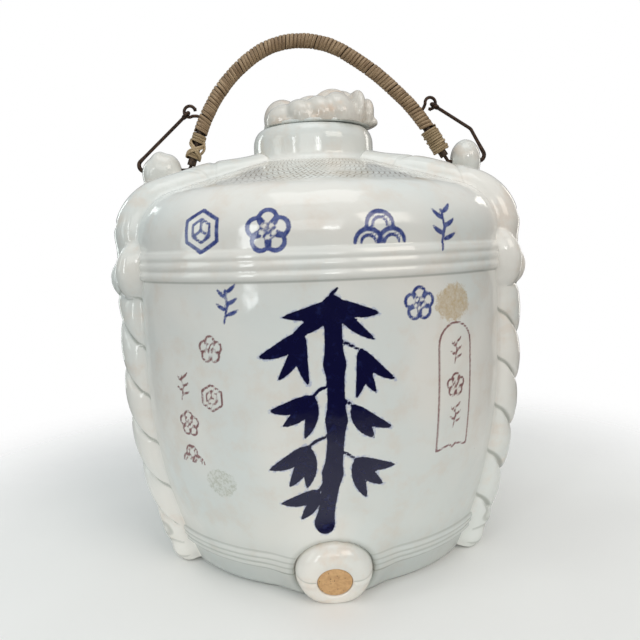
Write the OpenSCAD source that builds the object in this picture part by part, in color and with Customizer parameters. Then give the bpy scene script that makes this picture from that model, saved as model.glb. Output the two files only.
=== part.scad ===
// A porcelain sake jug in the shape of a roped barrel, with a knotted lid, a corked tap boss
// and a rattan bail handle on wire hangers. Millimetres, +Z up, the front faces -Y, and the
// origin is the middle of the foot.

/* [Jar] */
// Outside radius of the belly at its widest
belly_r = 130.5; // [126:0.5:134]
// Outside radius of the foot where it stands
foot_r = 102; // [98:0.5:106]
// Thickness of the fired wall
wall = 8; // [6:0.5:9]
// Height of the rim of the neck
rim_z = 282; // [280:0.5:284]
// Outside radius of the neck
neck_r = 41.5; // [40:0.5:43]
// Radius of the mouth
mouth_r = 31; // [30:0.5:32]
// How far a hoop stands out of the wall
hoop_proud = 2; // [1:0.25:2.5]

/* [Ropes and ears] */
// Radius of a rope, whose middle runs along the wall's surface
rope_r = 9.8; // [8:0.1:11]
// Angle from the front to each front rope, and from the back to each back rope
rope_angle = 63; // [58:0.5:66]
// Radius of an ear about the hinge line
ear_r = 13.5; // [12:0.25:13.5]
// Diameter of the hole through an ear
ear_hole_d = 5.5; // [4.5:0.25:6]
// Height of the hinge line above the foot
hinge_z = 258; // [257.5:0.25:258.5]

/* [Tap boss and cork] */
// Radius of the boss where it meets the wall
boss_r = 22.5; // [20:0.25:22.5]
// How far the boss stands out of the wall
boss_h = 12.5; // [11:0.5:13]
// Height of the middle of the boss on the wall
tap_z = 18.5; // [18:0.5:21]
// How far the tap hole points down
tap_tilt = 16; // [12:1:18]
// Diameter of the cork at its face
cork_d = 20; // [18:0.2:20.4]

/* [Lid] */
// Radius of the lid's disc
lid_r = 39.5; // [38:0.5:41]
// How far the loose lid lies to the right of the middle
lid_shift = 3; // [0:0.5:3]

/* [Handle] */
// Diameter of the cane core
core_d = 6.5; // [5:0.25:7]
// Diameter over the rattan wrapping
wrap_d = 10; // [9.5:0.25:11]
// Diameter over the lashings at the feet
lash_d = 13; // [12:0.25:14]
// Diameter of the iron wire
wire_d = 2.4; // [2:0.1:2.6]

/* [Hidden] */
$fn = 64;

glaze = "#E9EBE6";
cane = "#9A8365";
lashing = "#7D6546";
iron = "#2E241D";

// The wall's outline: an arc up to belly_z, upright to corner_z, a round corner, a straight
// dome and the neck
belly_z = 135;
belly_bend = 343;
corner_z = 209;
corner_r = 30.5;
dome_slope = 17.6;
corner_x = belly_r - corner_r;
neck_fillet = 5;
lip_r = 6;
hoop_low = [16, 27.4];
hoop_high = [185.5, 202];
rib_n = 3;
knot_proud = 2;
knot_h = 48;
tuck_h = 30;
tuck_lean = 16;
ball_fat = 1.015;
foot_w = 9;
foot_recess = 5;
floor_z = 11;

function wall_r(z) = belly_r - belly_bend + sqrt(belly_bend ^ 2 - max(0, belly_z - z) ^ 2);
function arc(c, r, a0, a1, n) =
    [for (i = [0:n]) let (a = a0 + (a1 - a0) * i / n) [c.x + r * cos(a), c.y + r * sin(a)]];
// Rounded ribs side by side on the wall between two heights
function ribs(span) = let (step = (span[1] - span[0]) / rib_n)
    [for (k = [0:rib_n - 1], i = [0:4]) let (z = span[0] + step * (k + 0.06 + 0.22 * i))
        [wall_r(z) + hoop_proud * (0.35 + 0.65 * sin(45 * i)), z]];

corner_end = [corner_x + corner_r * sin(dome_slope), corner_z + corner_r * cos(dome_slope)];
function dome_z(r) = corner_end.y + (corner_end.x - r) * tan(dome_slope);
neck_foot = neck_r + neck_fillet;
neck_z = dome_z(neck_foot) + 0.5;
shoulder_z = 205;

outline = concat(
    [[0, 0], [foot_r - 1, 0], [foot_r, 1], [wall_r(hoop_low[0]) - 0.3, hoop_low[0] - 0.4]],
    ribs(hoop_low),
    [for (z = [30:15:135]) [wall_r(z), z]],
    ribs(hoop_high),
    arc([corner_x, corner_z], corner_r, 0, 90 - dome_slope, 10),
    [[neck_foot + 2, dome_z(neck_foot + 2)]],
    arc([neck_foot, dome_z(neck_foot) + neck_fillet], neck_fillet, 250, 180, 4),
    arc([neck_r - lip_r, rim_z - lip_r], lip_r, 0, 90, 5),
    [[0, rim_z]]);

// The hollow follows the wall's outline at the wall's thickness
hollow = concat(
    [[0, floor_z]],
    arc([wall_r(30) - wall - 12, floor_z + 12], 12, 270, 350, 5),
    [for (z = [30:15:135]) [wall_r(z) - wall, z]],
    arc([corner_x, corner_z], corner_r - wall, 0, 90 - dome_slope, 8),
    [[mouth_r + 6, dome_z(mouth_r + 6) - wall]],
    arc([mouth_r + 6, dome_z(mouth_r + 6) - wall + 6], 6, 260, 180, 4),
    [[mouth_r, rim_z + 1], [0, rim_z + 1]]);

tap_wall = wall_r(tap_z);
boss_flat = 12;
boss_foot = 0.5;
bore_depth = 46;
cork_fit = 0.05;
cork_len = 27;
cork_sink = 0.8;
cork_grip = 12;
cork_tip_d = 17.5;

ear_in = [91.5, 97];
ear_out = [116, 117.5];
ear_round = 9;
trunk_h = 30;

lid_gap = 0.3;
lid_t = 4.7;
lid_edge = 1.8;
ring_r = [23, 27.5];
ring_h = 8;
lid_base = rim_z + lid_gap;
lid_top = lid_base + lid_t;
// The knot's strands as rounded lumps: place across the disc, height and radius of each
lumps = [[-22, 0, 3, 15], [-20, -14, 0, 12], [-20, 14, 0, 12], [-3, -14, 2, 14],
         [-3, 13, 2, 14], [12, -13, 4, 14.5], [12, 14, 4, 14], [25, -4, 7, 15],
         [27, 9, 3, 13.5], [4, 0, 3, 16]];

// The handle's arch in the plane y = 0, from its left foot to its right foot, with the
// radius of the bend at each corner
arch = [[-86, 261], [-76, 289], [-60, 318], [-27, 342], [10, 343], [44, 321],
        [73, 294], [93, 262]];
arch_bend = [0, 100, 100, 55, 60, 140, 120, 0];
lash_from = 4;
lash_to = 20;
core_grip = 8;

// The eyes' middles and the hangers' corners, in the same plane
eye_mid = [[-84.8, 297.5], [83, 298.6]];
eye_ring = 3.7;
link_ring = 2.6;
eye_grip = 1.4;
hang_left = [-128.5, hinge_z];
hang_right = [[111.5, 280.3], [123.8, hinge_z]];
hang_bend = 4;
foot_bend = 3;
elbow_bite = 0.3;
elbow_fat = 1.02;

function unit(v) = v / norm(v);
function along(p, q, s) = p + unit(q - p) * s;
function heading(v) = atan2(v.y, v.x);
function turn(p, k) = let (a = heading(p[k + 1] - p[k]) - heading(p[k] - p[k - 1]))
    a > 180 ? a - 360 : a < -180 ? a + 360 : a;
function cut(p, bend, k) = k <= 0 || k >= len(p) - 1 ? 0 : bend[k] * tan(abs(turn(p, k)) / 2);

// A round rod bent in the plane y = 0: a straight along each side of the line p, and at each
// corner an elbow a little fatter, which takes in the ends of its two straights
module bent(p, bend, d) {
    n = len(p) - 1;
    for (k = [0:n - 1]) {
        a = along(p[k], p[k + 1], cut(p, bend, k) - (k > 0 ? elbow_bite : 0));
        b = along(p[k + 1], p[k], cut(p, bend, k + 1) - (k + 1 < n ? elbow_bite : 0));
        translate([a.x, 0, a.y]) rotate([0, 90 - heading(b - a), 0])
            cylinder(d = d, h = norm(b - a));
    }
    for (k = [1:1:n - 1]) {
        s = sign(turn(p, k));
        h = heading(p[k] - p[k - 1]);
        m = along(p[k], p[k - 1], cut(p, bend, k)) + bend[k] * s * [-sin(h), cos(h)];
        translate([m.x, 0, m.y]) rotate([90, 0, 0])
            rotate(s > 0 ? h - 90 : h + 90 + turn(p, k))
                rotate_extrude(angle = abs(turn(p, k))) translate([bend[k], 0])
                    circle(d = d * elbow_fat);
    }
}

// The plain outside of the jar, filled
module jar_solid() {
    rotate_extrude($fn = 128) polygon(outline);
}

// The part of the jar's wall between two heights
module section(z0, z1) {
    difference() {
        intersection() {
            jar_solid();
            translate([0, 0, z0]) cylinder(r = belly_r + 10, h = z1 - z0, $fn = 128);
        }
        rotate_extrude($fn = 128) polygon(hollow);
    }
}

// The floor and the wall up to the shoulder, with the tap hole through it
module jar_body() {
    color(glaze) difference() {
        section(-1, shoulder_z);
        translate([0, 0, -1]) cylinder(r = foot_r - foot_w, h = foot_recess + 1, $fn = 128);
        along_tap(-bore_depth) cylinder(d = cork_d + 1, h = bore_depth + boss_h);
    }
}

// The round corner and the dome, luted on the wall
module jar_shoulder() {
    color(glaze) section(shoulder_z, neck_z);
}

// The collar of the mouth, luted on the dome
module jar_neck() {
    color(glaze) section(neck_z, rim_z + 1);
}

// Places a solid on the tap's line, which starts on the wall and points out and down
module along_tap(s) {
    translate([0, -tap_wall, tap_z]) rotate([90 + tap_tilt, 0, 0]) translate([0, 0, s])
        children();
}

// A dome with a soft flat face, luted round the tap hole, bored for the cork and cut level
// with the foot
module spigot_boss() {
    color(glaze) difference() {
        along_tap(-boss_h) rotate_extrude()
            polygon(concat([[0, 0], [boss_r, 0], [boss_r, boss_h]],
                [for (a = [15:15:90])
                    [boss_flat + (boss_r - boss_flat) * cos(a), boss_h * (1 + sin(a))]],
                [[0, 2 * boss_h]]));
        jar_solid();
        along_tap(-2 * boss_h) cylinder(d = cork_d + 2 * cork_fit, h = 4 * boss_h);
        translate([-boss_r - 5, -tap_wall - 2 * boss_r, boss_foot - 40])
            cube([2 * boss_r + 10, 4 * boss_r, 40]);
    }
}

// A round bulge about an upright line
module lobe(r, h) {
    rotate_extrude() polygon([for (a = [-90:18:90]) [r * cos(a), h / 2 * sin(a)]]);
}

// One rope from the foot, up the wall, round the corner and along the dome to the neck,
// with the bulge of its knot at the upper hoop and its tucked end at the lower one
module rope(side, angle) {
    run = concat([for (z = [24, 48, 75, 105]) [wall_r(z), z]], [[belly_r, belly_z]],
        arc([corner_x, corner_z], corner_r, 0, 90 - dome_slope, 6),
        [[neck_foot, dome_z(neck_foot)]]);
    color(glaze) difference() {
        mirror([side > 0 ? 1 : 0, 0, 0]) rotate(angle) union() {
            for (k = [0:len(run) - 2]) {
                translate([run[k].x, 0, run[k].y])
                    rotate([0, 90 - heading(run[k + 1] - run[k]), 0])
                        cylinder(r = rope_r, h = norm(run[k + 1] - run[k]));
                translate([run[k + 1].x, 0, run[k + 1].y]) sphere(r = rope_r * ball_fat);
            }
            translate([belly_r - 0.4, 0, (hoop_high[0] + hoop_high[1]) / 2 + 1])
                lobe(rope_r + knot_proud, knot_h);
            translate([wall_r(hoop_low[0]) - 1, 0, hoop_low[0]]) rotate([0, tuck_lean, 0])
                lobe(rope_r + knot_proud, tuck_h);
        }
        jar_solid();
    }
}

module front_rope_left() rope(1, -90 + rope_angle);
module front_rope_right() rope(-1, -90 + rope_angle);
module back_rope_left() rope(1, 90 - rope_angle);
module back_rope_right() rope(-1, 90 - rope_angle);

// A pierced lug, round about the hinge line, on a trunk that stands on the shoulder
module ear(x_in, x_out, side) {
    span = x_out - x_in;
    color(glaze) difference() {
        mirror([side < 0 ? 1 : 0, 0, 0]) union() {
            translate([x_in, 0, hinge_z]) rotate([0, 90, 0]) rotate_extrude()
                polygon(concat([[0, 0]],
                    arc([ear_r - ear_round, ear_round], ear_round, -90, 0, 6),
                    arc([ear_r - ear_round, span - ear_round], ear_round, 0, 90, 6),
                    [[0, span]]));
            translate([(x_in + x_out) / 2, 0, hinge_z - trunk_h - 1])
                cylinder(d = span - 3, h = trunk_h);
        }
        jar_solid();
        translate([0, 0, hinge_z]) rotate([0, 90 * side, 0])
            cylinder(d = ear_hole_d, h = x_out + 1);
    }
}

module ear_left() ear(ear_in[0], ear_out[0], -1);
module ear_right() ear(ear_in[1], ear_out[1], 1);

module lid_disc() {
    color(glaze) translate([lid_shift, 0, 0]) union() {
        translate([0, 0, lid_base]) rotate_extrude($fn = 96)
            polygon(concat([[0, 0], [lid_r - lid_edge, 0]],
                arc([lid_r - lid_edge, lid_edge], lid_edge, -60, 60, 4),
                [[lid_r - lid_edge - 2, lid_t], [0, lid_t]]));
        translate([0, 0, lid_base - ring_h]) difference() {
            cylinder(r = ring_r[1], h = ring_h + 1);
            translate([0, 0, -1]) cylinder(r = ring_r[0], h = ring_h + 1);
        }
    }
}

module lid_knot() {
    color(glaze) difference() {
        translate([lid_shift, 0, lid_top])
            for (m = lumps) translate([m[0], m[1], m[2]]) sphere(r = m[3]);
        translate([-90, -90, lid_top - 60]) cube([180, 180, 60]);
    }
}

// The cork: a straight grip that fills the boss, and a tapered tip through the wall
module cork_bung() {
    color("#B5895A") along_tap(boss_h - cork_sink - cork_len) {
        cylinder(d1 = cork_tip_d, d2 = cork_d, h = cork_len - cork_grip);
        translate([0, 0, cork_len - cork_grip]) cylinder(d = cork_d, h = cork_grip);
    }
}

module handle_core() {
    color("#5A4632") bent(arch, arch_bend, core_d);
}

last = len(arch) - 1;
function arch_left(s) = along(arch[0], arch[1], s);
function arch_right(s) = along(arch[last], arch[last - 1], s);

module rattan_wrap() {
    path = concat([arch_left(lash_to)], [for (k = [1:last - 1]) arch[k]],
        [arch_right(lash_to)]);
    color(cane) difference() {
        bent(path, arch_bend, wrap_d);
        bent(arch, arch_bend, core_d);
    }
}

module binding(a, b) {
    color(lashing) difference() {
        bent([a, b], [0, 0], lash_d);
        bent(arch, arch_bend, core_d);
    }
}

module binding_left() binding(arch_left(lash_from), arch_left(lash_to));
module binding_right() binding(arch_right(lash_from), arch_right(lash_to));

// A wire ring beside the wrapping, with a short shank that is wound in
module eye(m, a, b) {
    n = unit([-(b - a).y, (b - a).x]);
    out = (m - a) * n;
    color(iron) union() {
        translate([m.x, 0, m.y]) rotate([90, 0, 0]) rotate_extrude()
            translate([eye_ring, 0]) circle(d = wire_d, $fn = 32);
        bent([m - n * eye_ring, m - n * (out - wrap_d / 2 + eye_grip)], [0, 0], wire_d);
    }
}

module eye_left() eye(eye_mid[0], arch[1], arch[2]);
module eye_right() eye(eye_mid[1], arch[5], arch[6]);

// A wire from its own small ring in the eye, down and round into the ear's hole and up into
// the handle's foot
module hanger(m, corners, foot, inside) {
    toward = unit(corners[0] - m);
    link = m + toward * eye_ring;
    color(iron) union() {
        translate([link.x, 0, link.y]) rotate([0, -heading(toward), 0]) rotate_extrude()
            translate([link_ring, 0]) circle(d = wire_d, $fn = 32);
        bent(concat([link + toward * link_ring], corners, [foot, inside]),
            [0, for (c = corners) hang_bend, foot_bend, 0], wire_d);
    }
}

// Where a foot's own line meets the hinge line
function foot_on_hinge(p, q) = p + (p - q) * (p.y - hinge_z) / (q.y - p.y);

module hanger_left() hanger(eye_mid[0], [hang_left], foot_on_hinge(arch[0], arch[1]),
    arch_left(core_grip));
module hanger_right() hanger(eye_mid[1], hang_right, foot_on_hinge(arch[last], arch[last - 1]),
    arch_right(core_grip));

jar_body();
jar_shoulder();
jar_neck();
spigot_boss();
front_rope_left();
front_rope_right();
back_rope_left();
back_rope_right();
ear_left();
ear_right();
lid_disc();
lid_knot();
cork_bung();
handle_core();
rattan_wrap();
binding_left();
binding_right();
eye_left();
eye_right();
hanger_left();
hanger_right();
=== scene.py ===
import math
import random

import bmesh
import bpy
import numpy as np
from mathutils import Matrix, Vector, noise


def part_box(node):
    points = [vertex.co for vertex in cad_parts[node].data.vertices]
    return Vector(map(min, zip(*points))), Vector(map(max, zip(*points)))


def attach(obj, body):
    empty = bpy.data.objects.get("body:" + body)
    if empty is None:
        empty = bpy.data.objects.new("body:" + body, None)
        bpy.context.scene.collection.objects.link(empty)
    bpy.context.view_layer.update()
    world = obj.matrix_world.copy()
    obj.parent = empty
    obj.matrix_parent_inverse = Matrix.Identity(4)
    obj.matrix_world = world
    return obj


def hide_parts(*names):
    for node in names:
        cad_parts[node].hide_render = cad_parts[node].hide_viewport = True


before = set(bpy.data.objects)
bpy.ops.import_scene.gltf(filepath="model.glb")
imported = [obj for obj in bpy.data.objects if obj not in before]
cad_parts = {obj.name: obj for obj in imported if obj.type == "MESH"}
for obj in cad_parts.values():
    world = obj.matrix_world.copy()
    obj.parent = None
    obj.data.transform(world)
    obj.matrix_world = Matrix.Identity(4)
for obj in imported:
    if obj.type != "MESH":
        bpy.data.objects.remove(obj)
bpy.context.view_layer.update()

# Lengths in this file are millimetres, and make_piece() turns a finished mesh into metres.
MM = 0.001
TAU = 2 * math.pi

# ---------------------------------------------------------------- the jug's driving dimensions

BELLY_R = 130.5
BELLY_Z = 135.0
BELLY_BEND = 343.0
CORNER_R = 30.5
CORNER_X = BELLY_R - CORNER_R
CORNER_Z = 209.0
DOME_SLOPE = math.radians(17.6)
DOME_START = (CORNER_X + CORNER_R * math.sin(DOME_SLOPE), CORNER_Z + CORNER_R * math.cos(DOME_SLOPE))
NECK_R = 41.5
NECK_FILLET = 5.0
NECK_FOOT = NECK_R + NECK_FILLET
RIM_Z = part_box("jar_neck")[1].z / MM
LIP_R = 7.5
LIP_H = 11.0
MOUTH_R = 31.0
WALL = 8.0
FOOT_R = 102.0
FOOT_W = 9.0
FOOT_RECESS = 5.0
FLOOR_Z = 11.0
HOOP_LOW = (16.0, 27.4)
HOOP_HIGH = (185.5, 202.0)
HOOP_RIBS = 3
HOOP_PROUD = 1.95

ROPE_R = 9.8
INNER_R = 14.5
ROPE_ANGLE = 63.0
ROPE_PITCH = 30.0
ROPE_LEAN = 0.95

TAP_Z = 18.5
TAP_TILT = math.radians(16)
BOSS_R = 22.5
BOSS_H = 12.5
BOSS_FLAT = 12.0
CORK_R = 10.0
CORK_SINK = 0.8
CORK_LEN = 27.0
CORK_GRIP = 12.0
CORK_TIP_R = 8.75

HINGE_Z = 258.0
EAR_SPAN = ((-116.0, -91.5), (97.0, 117.5))
EAR_HOLE_R = 2.75

LID_SHIFT = 3.0
LID_RIM = 37.0
LID_BASE = RIM_Z + 0.3
LID_T = 4.7
LID_TOP = LID_BASE + LID_T
RING_R = (23.0, 27.5)
RING_H = 8.0

# The handle's arch in the plane y = 0, from its left foot to its right foot
ARCH = [(-86, 261), (-76, 289), (-60, 318), (-27, 342), (10, 343), (44, 321), (73, 294), (93, 262)]
ARCH_BEND = [0, 100, 100, 55, 60, 140, 120, 0]
WRAP_R = 5.0
LASH_FROM = 4.0
LASH_TO = 20.0
WIRE_R = 1.2
EYE_MID = ((-84.8, 297.5), (83.0, 298.6))
EYE_RING = 3.7
LINK_RING = 2.6
HANG_LEFT = [(-128.5, HINGE_Z)]
HANG_RIGHT = [(111.5, 280.3), (123.8, HINGE_Z)]


def smoothstep(low, high, x):
    t = min(1.0, max(0.0, (x - low) / (high - low)))
    return t * t * (3 - 2 * t)


def wall_r(z):
    """Outside radius of the wall at a height."""
    return BELLY_R - BELLY_BEND + math.sqrt(BELLY_BEND ** 2 - max(0.0, BELLY_Z - z) ** 2)


def dome_z(r):
    return DOME_START[1] + (DOME_START[0] - r) * math.tan(DOME_SLOPE)


def arc(cx, cz, radius, start, end, count):
    """Points on a round stretch of an outline, with its angles in degrees."""
    angles = [math.radians(start + (end - start) * i / count) for i in range(count + 1)]
    return [(cx + radius * math.cos(a), cz + radius * math.sin(a)) for a in angles]


def steps(start, end, size):
    count = max(1, round(abs(end - start) / size))
    return [start + (end - start) * i / count for i in range(count + 1)]


# ---------------------------------------------------------------- materials


class Value:
    """A socket that can be added to, multiplied and compared like a number."""

    def __init__(self, nodes, socket):
        self.nodes, self.socket = nodes, socket

    def math(self, operation, *others):
        values = dict(enumerate((self,) + others))
        return self.nodes.node("ShaderNodeMath", {"operation": operation}, values)

    def __add__(self, other):
        return self.math("ADD", other)

    def __sub__(self, other):
        return self.math("SUBTRACT", other)

    def __rsub__(self, other):
        return self.nodes.node("ShaderNodeMath", {"operation": "SUBTRACT"}, {0: other, 1: self})

    def __mul__(self, other):
        return self.math("MULTIPLY", other)

    def __neg__(self):
        return self.math("MULTIPLY", -1.0)

    __radd__ = __add__
    __rmul__ = __mul__

    def ramp(self, low, high):
        """0 at low, 1 at high, eased between; low may be the larger."""
        if low > high:
            return 1 - self.ramp(high, low)
        values = {"Value": self, "From Min": low, "From Max": high}
        return self.nodes.node("ShaderNodeMapRange", {"interpolation_type": "SMOOTHSTEP"}, values)


class Nodes:
    """A node tree under construction."""

    def __init__(self, tree):
        self.tree = tree

    def set(self, socket, value):
        if isinstance(value, Value):
            self.tree.links.new(value.socket, socket)
        else:
            socket.default_value = value

    def node(self, kind, settings=None, values=None, output=0):
        made = self.tree.nodes.new(kind)
        for key, value in (settings or {}).items():
            setattr(made, key, value)
        for key, value in (values or {}).items():
            self.set(made.inputs[key], value)
        return Value(self, made.outputs[output])

    def split(self, vector):
        made = self.tree.nodes.new("ShaderNodeSeparateXYZ")
        self.set(made.inputs[0], vector)
        return [Value(self, out) for out in made.outputs]

    def mix(self, factor, first, second):
        """A colour between two colours."""
        values = {0: factor, 6: first, 7: second}
        return self.node("ShaderNodeMix", {"data_type": "RGBA"}, values, 2)


class Finish(Nodes):
    """A material under construction, with one Principled shader."""

    def __init__(self, name):
        self.material = bpy.data.materials.new(name)
        self.material.use_nodes = True
        super().__init__(self.material.node_tree)
        self.shader = self.tree.nodes["Principled BSDF"]

    def mapped(self, output, scale):
        raw = self.node("ShaderNodeTexCoord", output=output)
        return self.node("ShaderNodeMapping", None, {"Vector": raw, "Scale": scale})

    def place(self, scale=(1, 1, 1)):
        """Object coordinates in millimetres, stretched by scale."""
        return self.mapped("Object", tuple(s / MM for s in scale))

    def surface(self, scale=(1, 1, 1)):
        """The piece's own UV map, stretched by scale."""
        return self.mapped("UV", scale)

    def noise(self, vector, scale, detail=3.0, roughness=0.55):
        values = {"Vector": vector, "Scale": scale, "Detail": detail, "Roughness": roughness}
        return self.node("ShaderNodeTexNoise", None, values)

    def cells(self, vector, scale):
        return self.node("ShaderNodeTexVoronoi", {"feature": "F1"}, {"Vector": vector, "Scale": scale})

    def attribute(self, name):
        return self.node("ShaderNodeAttribute", {"attribute_name": name}, None, "Fac")

    def bump(self, height, distance):
        values = {"Height": height, "Distance": distance * MM, "Strength": 1.0}
        return self.node("ShaderNodeBump", None, values)

    def finish(self, **sockets):
        for name, value in sockets.items():
            self.set(self.shader.inputs[name.replace("_", " ")], value)
        return self.material


def rgb(code):
    """A linear colour from a six-digit sRGB code."""
    parts = [int(code[i:i + 2], 16) / 255 for i in (0, 2, 4)]
    return tuple(p / 12.92 if p < 0.04045 else ((p + 0.055) / 1.055) ** 2.4 for p in parts) + (1.0,)


WHITE = rgb("E9E8E2")
COOL = rgb("DEE3E0")
STAIN = rgb("DCCAB8")
# The grey used for painted shade
SHADE_GREY = rgb("979B92")
NAVY = rgb("0A0A33")
COBALT = rgb("33407E")
WASH = rgb("8E9BC6")
IRON_RED = rgb("6E3338")


def porcelain(f, here, stain):
    """White glaze over porcelain: cool and warm patches, a beige stain, painted grey shade in creases, and
    specks.
    """
    slow = f.noise(here, 0.012, 2.0)
    colour = f.mix(slow.ramp(0.38, 0.62), WHITE, COOL)
    dirt = f.noise(here, 0.05, 4.0, 0.65).ramp(0.46, 0.74)
    colour = f.mix(dirt * stain + max(0.0, stain - 0.4) * 1.2, colour, STAIN)
    # Painted shade: grey wherever the piece's crease attribute is high
    colour = f.mix(f.attribute("crease").ramp(0.25, 1.0) * 0.8, colour, SHADE_GREY)
    speck = f.cells(here, 0.045).ramp(0.012, 0.006)
    return f.mix(speck * 0.8, colour, rgb("4A3C30"))


def glaze_finish(f, colour, here):
    """A glassy surface with the slow ripple that a wood-fired glaze has."""
    ripple = f.noise(here, 0.045, 2.0) * 0.8 + f.noise(here, 0.5, 2.0) * 0.035
    rough = 0.07 + f.noise(here, 0.08, 3.0).ramp(0.4, 0.8) * 0.09
    return f.finish(Base_Color=colour, Roughness=rough, Normal=f.bump(ripple, 0.9), IOR=1.5)


def plain_glaze(name, stain):
    f = Finish(name)
    here = f.place()
    return glaze_finish(f, porcelain(f, here, stain), here)


def painted_glaze():
    """The jar's glaze, with the brush painting, the straw-mat print and the stains under it, and painted
    shade towards the foot, under the hoops and round the boss.
    """
    f = Finish("painted_porcelain")
    here = f.place()
    x, y, z = f.split(here)
    colour = porcelain(f, here, 0.32)
    ragged = f.noise(here, 0.9, 3.0, 0.7) - 0.5
    # Painted shade: the wall greys towards the bottom, and the band below the lower hoop turns a darker
    # grey-blue
    colour = f.mix(z.ramp(125.0, 15.0) * 0.17, colour, SHADE_GREY)
    colour = f.mix(z.ramp(42.0, 10.0) * 0.3 + z.ramp(17.0, 14.0) * 0.1, colour, rgb("8D9A9B"))
    # Painted shade: grey lines under each hoop and in the grooves of the lower one
    under = [(hoop[0] - 0.3, depth) for hoop, depth in ((HOOP_LOW, 0.8), (HOOP_HIGH, 0.4))]
    for height, depth in under[:1] + [(19.9, 0.45), (23.7, 0.4), (27.7, 0.35)] + under[1:]:
        line = (z - height).math("ABSOLUTE").ramp(0.9, 0.2)
        colour = f.mix(line * depth, colour, SHADE_GREY)

    across = f.node("ShaderNodeMath", {"operation": "ARCTAN2"}, {0: x, 1: -y})
    out = (x * x + y * y).math("SQRT")
    rows = out * 0.21
    part = rows.math("FRACT")
    lean = (rows.math("FLOOR") * 0.5).math("FRACT") * 4.0 - 1.0
    dashes = (across * 80.0 + part * lean * 1.7).math("SINE").math("ABSOLUTE").ramp(0.62, 0.1)
    seams = (part - 0.5).math("ABSOLUTE").ramp(0.34, 0.5) * 0.7
    dome = out.ramp(47.0, 52.0) * z.ramp(230.0, 238.0)
    mat = dashes.math("MAXIMUM", seams) * out.ramp(110.0, 100.0) * dome
    worn = 0.35 + f.noise(here, 0.05, 3.0).ramp(0.36, 0.56) * 0.65
    colour = f.mix(mat * worn * 0.95, colour, rgb("776D5E"))
    soot = z.ramp(236.0, 243.0) * out.ramp(47.0, 52.0) * f.noise(here, 0.03, 4.0, 0.65).ramp(0.4, 0.7)
    colour = f.mix(soot * 0.55, colour, rgb("B3A794"))

    navy = f.attribute("navy") + ragged * 0.9
    halo = f.attribute("navy") + (f.noise(here, 0.35, 3.0, 0.7) - 0.5) * 5.0
    colour = f.mix(halo.ramp(0.9, -0.2) * 0.55, colour, WASH)
    pale = f.noise(here, 0.25, 3.0).ramp(0.55, 0.78) * 0.22
    colour = f.mix(navy.ramp(0.22, -0.18), colour, f.mix(pale, NAVY, COBALT))
    cobalt = f.attribute("cobalt") + ragged * 0.7
    tone = f.noise(here, 0.3, 3.0).ramp(0.35, 0.7) * 0.35
    colour = f.mix(cobalt.ramp(0.5, -0.3), colour, f.mix(tone, COBALT, WASH))
    red = f.attribute("iron_red") + ragged * 0.7
    faded = f.noise(here, 0.4, 2.0).ramp(0.35, 0.7) * 0.35
    colour = f.mix(red.ramp(0.4, -0.25) * 0.9, colour, f.mix(faded, IRON_RED, rgb("A97B74")))
    spot = f.attribute("tan_stain") + (f.noise(here, 0.28, 5.0, 0.8) - 0.5) * 17.0
    blotch = f.noise(here, 0.45, 4.0, 0.7).ramp(0.25, 0.7)
    colour = f.mix(spot.ramp(1.2, -2.0) * (0.4 + blotch * 0.45), colour, rgb("C2AB82"))
    faint = f.attribute("faint_stain") + (f.noise(here, 0.5, 3.0, 0.7) - 0.5) * 7.0
    mottle = f.noise(here, 0.55, 3.0, 0.7).ramp(0.42, 0.62)
    colour = f.mix(faint.ramp(0.8, -1.2) * (0.12 + mottle * 0.4), colour, rgb("9EA28C"))
    return glaze_finish(f, colour, here)


def cork_face():
    """Cut cork: tan grain with short dark pores."""
    f = Finish("cut_cork")
    here = f.place()
    grain = f.noise(here, 0.35, 5.0, 0.7)
    colour = f.mix(grain.ramp(0.3, 0.7), rgb("BC9365"), rgb("D4AC7C"))
    pores = f.cells(f.place((1.0, 1.0, 0.45)), 0.55)
    dark = pores.ramp(0.26, 0.12) * f.noise(here, 0.8, 2.0).ramp(0.45, 0.6)
    colour = f.mix(dark * 0.8, colour, rgb("6B4A2C"))
    relief = grain * 0.5 - dark * 0.8
    return f.finish(Base_Color=colour, Roughness=0.82 - grain * 0.1, Normal=f.bump(relief, 0.35))


def split_cane(name, pale, deep, gap):
    """A split rattan strip: long fibres, painted shade towards its edges and on its inner face, and a soft
    sheen. Its UV runs along it.
    """
    f = Finish(name)
    v = f.split(f.surface())[1]
    fibre = f.noise(f.surface((0.10, 7.0, 1.0)), 1.0, 4.0, 0.6)
    turn = f.noise(f.surface((0.045, 0.0, 1.0)), 1.0, 2.0)
    colour = f.mix(fibre.ramp(0.3, 0.7), pale, deep)
    colour = f.mix(turn.ramp(0.42, 0.68) * 0.55, colour, deep)
    # Painted shade: the strip darkens to the last colour towards its edges and on its inner face
    edge = (v - 0.25).math("ABSOLUTE").ramp(0.12, 0.26)
    colour = f.mix(edge * 0.8, colour, gap)
    return f.finish(Base_Color=colour, Roughness=0.5 + fibre * 0.2, Normal=f.bump(fibre, 0.16))


def dark_cane():
    """Old smoked cane with long splits."""
    f = Finish("smoked_cane")
    here = f.place((1.0, 1.0, 0.18))
    grain = f.noise(here, 1.6, 4.0, 0.65)
    colour = f.mix(grain.ramp(0.35, 0.7), rgb("2E2118"), rgb("5C4632"))
    return f.finish(Base_Color=colour, Roughness=0.62 + grain * 0.15, Normal=f.bump(grain, 0.25))


def rusty_wire():
    """Thin iron wire, dark with brown rust."""
    f = Finish("rusty_iron_wire")
    here = f.place()
    rust = f.noise(here, 0.9, 4.0, 0.7)
    colour = f.mix(rust.ramp(0.4, 0.68), rgb("2A221D"), rgb("5A3D2A"))
    metal = 0.75 - rust.ramp(0.38, 0.6) * 0.6
    return f.finish(Base_Color=colour, Metallic=metal, Roughness=0.48 + rust * 0.3,
                    Normal=f.bump(rust, 0.22))


# ---------------------------------------------------------------- mesh tools


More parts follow.
